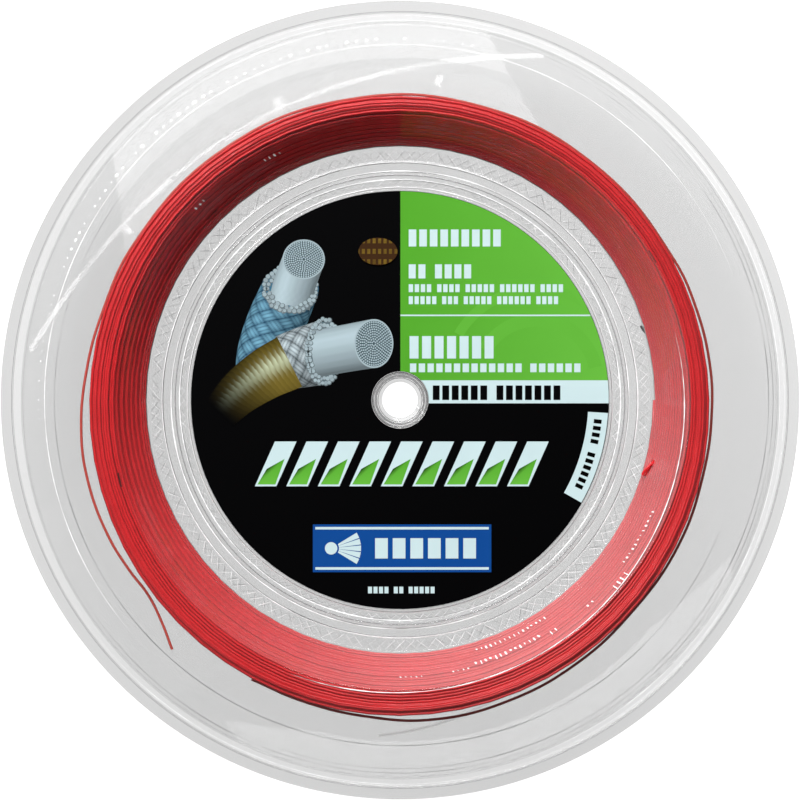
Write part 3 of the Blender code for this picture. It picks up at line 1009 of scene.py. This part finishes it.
def draw_cap(art, x, y, across, up, layer):
    """The cut end of a string's core: rings of fine filaments."""
    art.oval(x, y, across, up, shade(CORE, 0.8), layer, 40)
    art.oval(x, y, across * 0.93, up * 0.93, ink(70, 92, 98), layer + 1, 40)
    rings = 9
    for ring in range(1, rings + 1):
        reach = ring / rings * 0.88
        dots = round(5.5 * ring)
        for i in range(dots):
            turn = math.tau * (i + 0.5 * (ring % 2)) / dots
            px, py = x + across * reach * math.cos(turn), y + up * reach * math.sin(turn)
            art.oval(px, py, 0.22, 0.22, shade(CORE, 0.85), layer + 2, 6)


def draw_plait_rim(art, x, y, across, up, first, last, layer, seed):
    """Two rows of frayed plait ends round the mouth of a braid."""
    rng = np.random.default_rng(seed)
    for scale, per_turn in ((1.0, 34), (0.85, 28)):
        count = round(per_turn * (last - first) / 360)
        for i in range(count):
            turn = math.radians(first + (last - first) * i / count)
            swell = scale + rng.uniform(-0.05, 0.05)
            px, py = x + across * swell * math.cos(turn), y + up * swell * math.sin(turn)
            size = rng.uniform(0.5, 0.72)
            light = rng.uniform(0.6, 0.85)
            art.oval(px, py, size, size, shade(CORE, 0.3), layer, 10)
            art.oval(px - 0.05, py + 0.08, size * 0.75, size * 0.75, shade(CORE, light), layer + 1, 10)


def print_cut_strings(art):
    """Two cut strings that show a filament core, a braid and a coating."""
    mouth = (-26.3, 26.8)
    blue_braid = braid_tone(ink(128, 186, 212), ink(6, 46, 78), 3.3, 0.72)
    sleeve = [(-33.6, 3.5, 6.2), (-32.4, 11.0, 6.9), (-29.9, 18.5, 7.1), (-26.6, 26.4, 6.8)]
    core = [(-26.7, 22.8, 5.1), (-25.5, 27.6, 5.1), (-23.3, 33.7, 5.0)]
    draw_round(art, sleeve, blue_braid, 2, 110, 56)
    art.oval(*mouth, 6.7, 5.8, ink(62, 120, 150), 3)
    draw_plait_rim(art, *mouth, 6.3, 5.4, 0, 360, 4, 3)
    draw_round(art, core, core_tone, 6, 30)
    draw_plait_rim(art, *mouth, 6.3, 5.4, 195, 350, 7, 5)
    draw_cap(art, -23.2, 33.9, 5.1, 4.8, 9)

    mouth = (-18.2, 11.6)
    white_braid = braid_tone(ink(214, 230, 236), ink(24, 38, 44), 3.4, 0.66)
    sleeve = [(-28.2, 8.9, 6.6), (-24.0, 10.1, 7.2), (-18.6, 11.4, 7.7)]
    sheath = [(-26.6, 9.2, 6.7), (-32.5, 6.2, 6.2), (-38.5, 1.9, 5.4), (-43.4, -3.2, 4.4)]
    core = [(-21.2, 10.9, 5.6), (-13.8, 12.3, 5.7), (-6.4, 13.6, 5.85)]
    draw_round(art, sleeve, white_braid, 12, 76, 56)
    draw_round(art, sheath, sheath_tone(21.0), 13, 110)
    art.oval(*mouth, 4.0, 7.3, ink(96, 120, 128), 14)
    draw_plait_rim(art, *mouth, 4.2, 7.6, 0, 360, 15, 4)
    draw_round(art, core, core_tone, 17, 40)
    draw_plait_rim(art, *mouth, 4.2, 7.6, 110, 262, 18, 6)
    draw_cap(art, -6.3, 13.6, 4.7, 5.9, 20)


def label_card(name, node, material, side):
    """The card itself, black, with its edges eased."""
    section = flat_ring(LABEL_HOLE, LABEL_RADIUS, LABEL_BACK, LABEL_FACE, 0.05 * MM)
    ob = turned_mesh(name, *turned_grid(section, 240), material)
    ob.data.set_sharp_from_angle(angle=math.radians(30))
    add_colours(ob, [BLACK] * len(ob.data.vertices))
    place_on_side(ob, side, [node])


def printed_label(node, material, side):
    label_card(node + "_card", node, material, side)
    art = Print()
    print_panels(art)
    print_ornament(art)
    print_cut_strings(art)
    art.build(node + "_print", material, side)


def label_tab(name, node, material, side):
    """The curved tab, with a line of blocks that follows its edge."""
    art = Print()
    inner, outer = 45.4, 50.2
    first, last = math.radians(-29.5), math.radians(-3.6)
    lift = int(round((STICKER_FACE - LABEL_FACE) / LAYER))
    art.patch(arc(outer, first, last, 20) + arc(inner, last, first, 20), PALE, lift)
    cells, space, first_degrees, pitch = 11, 4, -6.2, 1.95
    middle, half_wide, half_high = 47.9, 0.5, 0.95
    for i in range(cells):
        if i == space:
            continue
        turn = math.radians(first_degrees - pitch * i)
        ahead = Vector((math.cos(turn), math.sin(turn)))
        along = Vector((ahead.y, -ahead.x))
        corners = []
        for up, aside in ((1, 1), (1, -1), (-1, -1), (-1, 1)):
            corners.append(tuple(ahead * (middle + up * half_high) + along * (aside * half_wide)))
        art.patch(corners, BLACK, lift + 1)
    art.build(name, material, side, [node])


# ---- studio


def soft_light(name, place, target, size, power):
    data = bpy.data.lights.new(name, "AREA")
    data.shape = "RECTANGLE"
    data.size, data.size_y = size
    data.energy = power
    ob = linked(name, data)
    ob.location = place
    ob.rotation_euler = (target - place).to_track_quat("-Z", "Y").to_euler()


def camera():
    """Straight above the reel, which fills the view but for a hair's breadth on each side."""
    data = bpy.data.cameras.new("camera")
    distance, margin = 0.93, 1.001753
    data.sensor_width = 36.0
    data.lens = data.sensor_width * distance / (2 * margin * FLANGE_RADIUS)
    data.clip_end = 10.0
    ob = linked("camera", data)
    ob.location = (0, 0, TOTAL_HEIGHT + distance)
    bpy.context.scene.camera = ob


LIGHTS = (  # azimuth and elevation in degrees, distance and size in metres, and watts
    ("key_softbox", 108, 50, 1.3, (1.2, 0.7), 29.0),
    ("long_tube", 120, 52, 1.0, (1.6, 0.02), 2.2),
    ("left_strip", 148, 50, 1.0, (0.012, 0.05), 0.05),
    ("upper_left_strip", 112, 50, 1.0, (0.02, 0.05), 0.08),
    ("top_strip", 83, 50, 1.0, (0.012, 0.05), 0.05),
    ("lower_left_fill", 215, 45, 1.2, (0.6, 0.4), 0.8),
)


def studio():
    world = bpy.data.worlds.new("studio")
    world.use_nodes = True
    backdrop = world.node_tree.nodes["Background"].inputs
    backdrop["Color"].default_value = (1, 1, 1, 1)
    backdrop["Strength"].default_value = 0.04
    bpy.context.scene.world = world
    bpy.context.scene.view_settings.view_transform = "Standard"
    target = Vector((0, 0, MIDDLE))
    for name, azimuth, elevation, distance, size, power in LIGHTS:
        turn, rise = math.radians(azimuth), math.radians(elevation)
        away = Vector((math.cos(turn) * math.cos(rise), math.sin(turn) * math.cos(rise), math.sin(rise)))
        soft_light(name, target + away * distance, target, size, power)
    floor()


def floor():
    """A white sweep that glows to the camera, so that the clear sheet shows as grey over pure white; its glow
    rises towards +X and +Y, a painted gradient of light.
    """
    n = Nodes("pale_floor")
    grain = n.noise(n.position(), 30.0, 3.0)
    colour = n.mix_colour(grain, (0.165, 0.165, 0.165, 1), (0.18, 0.18, 0.18, 1))
    seen = n.add("ShaderNodeLightPath").outputs["Is Camera Ray"]
    # Painted gradient of light: the glow seen by the camera is brighter towards +X and +Y.
    place = n.add("ShaderNodeVectorMath", {0: n.position(), 1: (8, 6, 0)}, operation="DOT_PRODUCT")
    slope = n.scaled(place.outputs["Value"], 0.13, 0.95)
    rise = n.add("ShaderNodeClamp", {"Value": slope, "Min": 0.91, "Max": 1.06})
    inputs = {
        "Base Color": colour,
        "Roughness": 0.8,
        "Specular IOR Level": 0.1,
        "Emission Color": (1, 1, 1, 1),
        "Emission Strength": n.scaled(n.math("MULTIPLY", seen, rise.outputs[0]), 1.0, 0.12),
    }
    material = n.principled(inputs)
    half = 2.0
    corners = [(-half, -half, 0), (half, -half, 0), (half, half, 0), (-half, half, 0)]
    return mesh_object("floor", corners, [(0, 1, 2, 3)], material, smooth=False)


# ---- build

camera()
main_red = string_material("main_string_red_fine", (0.80, 0.020, 0.028), (0.60, 0.010, 0.014))
cross_white = string_material("cross_string_white_fine", (0.9, 0.9, 0.88), (0.8, 0.8, 0.77))
# The bare end's glow is painted light: it stands in for light from the floor shining through the white
# string.
backlit_white = string_material("cross_string_backlit", (0.95, 0.95, 0.93), (0.9, 0.9, 0.88), glow=0.6)
# The loose turn is the same red string, made duller and browner than the wound red: painted shade for the
# turn lying in the flange's shade.
loose_red = string_material("main_string_red_loose", (0.62, 0.085, 0.062), (0.5, 0.055, 0.042))
free_string(
    "main_string_free_turn", "main_string_loose_turn", loose_red,
    LOOSE_TURN_ROUTE, MAIN_DIAMETER,
)  # fmt: skip
free_string(
    "cross_string_bare_end", "cross_string_free_end", backlit_white,
    FREE_END_ROUTE, CROSS_DIAMETER,
)  # fmt: skip
clear_front = clear_sheet_material("clear_sheet_fine", 0.765)
clear_rear = clear_sheet_material("clear_sheet_rear_fine", 0.92)
formed_shell("clear_front_shell", "front_shell", clear_front, 1, 640)
formed_shell("clear_rear_shell", "rear_shell", clear_rear, -1, 360)
fine_divider(clear_rear)
weld = weld_and_glint_material()
weld_ridges_and_glints("front_weld_ridges_and_glints", weld, 1)
weld_ridges_and_glints("rear_weld_ridges_and_glints", weld, -1)
fold_highlight_dots("front_fold_highlight_dots", weld, 1)
wound_string(
    "main_string_turns", "main_string_winding", main_red,
    MAIN_DIAMETER, MAIN_LENGTH, 1, 11, MAIN_LEAN, 1.05,
)  # fmt: skip
wound_string(
    "cross_string_turns", "cross_string_winding", cross_white,
    CROSS_DIAMETER, CROSS_LENGTH, -1, 12, 0.0, 1.0,
)  # fmt: skip
printed = ink_material("printed_ink", 0.42)
printed_label("front_label", printed, 1)
printed_label("rear_label", printed, -1)
label_tab("main_string_marker", "main_string_tab", printed, 1)
label_tab("cross_string_marker", "cross_string_tab", printed, -1)
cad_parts["oval_seal"].data.materials[0] = foil_material()
for node, string in (("main_string_start", main_red), ("cross_string_start", cross_white)):
    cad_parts[node].data.materials[0] = string
studio()
